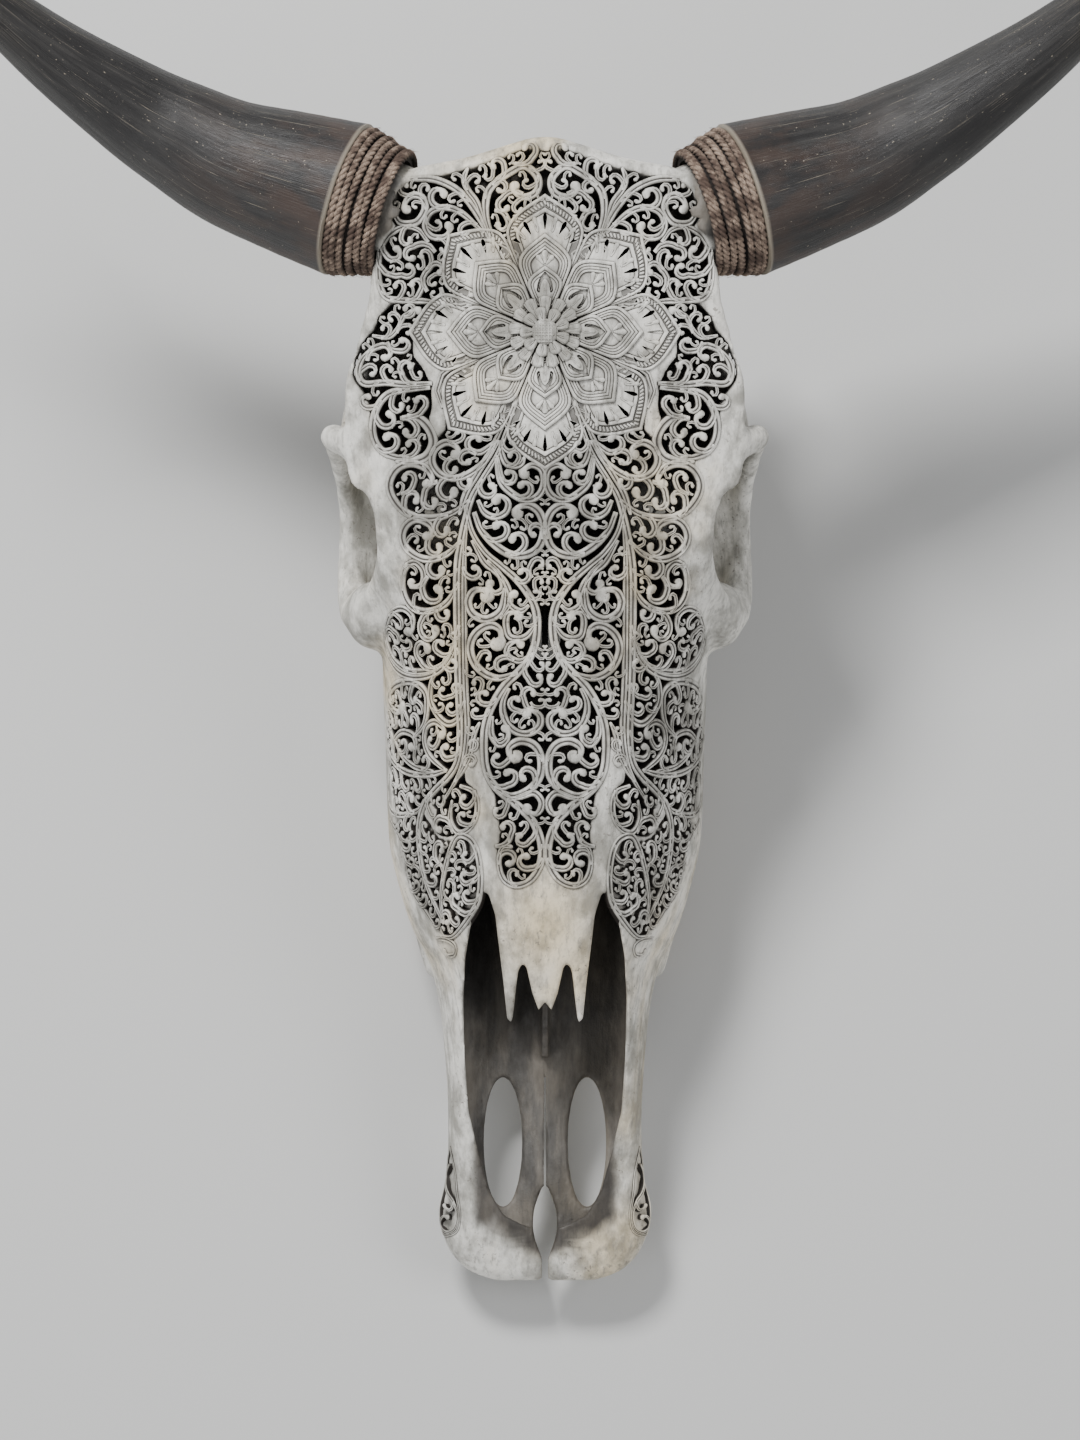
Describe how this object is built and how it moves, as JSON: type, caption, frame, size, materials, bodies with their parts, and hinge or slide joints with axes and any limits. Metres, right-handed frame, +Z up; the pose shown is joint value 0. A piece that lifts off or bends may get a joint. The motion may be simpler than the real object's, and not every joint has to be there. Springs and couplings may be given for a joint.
{
  "type": "carved cow skull",
  "caption": "Bull skull pierced and carved all over its face with scrollwork and a lotus on the forehead, with curved horns bound in cord at their roots.",
  "frame": {"origin": "on the table, under the middle of the whole object's box, with the skull lying on its teeth and the processes behind its ears", "axes": "+X to the right across the face seen from in front, +Y from the muzzle toward the poll, +Z up; the face looks up, tilted toward the muzzle by 16.2 degrees"},
  "size_m": [0.661, 0.6384, 0.3119],
  "materials": {
    "bone": "dry matt bone, pale on the carving and darker in the crevices",
    "horn": "smoky grey-black horn, satin, scratched",
    "cord": "twisted brown plant-fibre cord",
    "enamel": "stained tooth enamel"
  },
  "bodies": {
    "root": {"skull": "bone", "horn_left": "horn", "horn_right": "horn", "binding_left": "cord", "binding_right": "cord", "tooth_left_1": "enamel", "tooth_left_2": "enamel", "tooth_left_3": "enamel", "tooth_left_4": "enamel", "tooth_left_5": "enamel", "tooth_left_6": "enamel", "tooth_right_1": "enamel", "tooth_right_2": "enamel", "tooth_right_3": "enamel", "tooth_right_4": "enamel", "tooth_right_5": "enamel", "tooth_right_6": "enamel"}
  },
  "joints": []
}
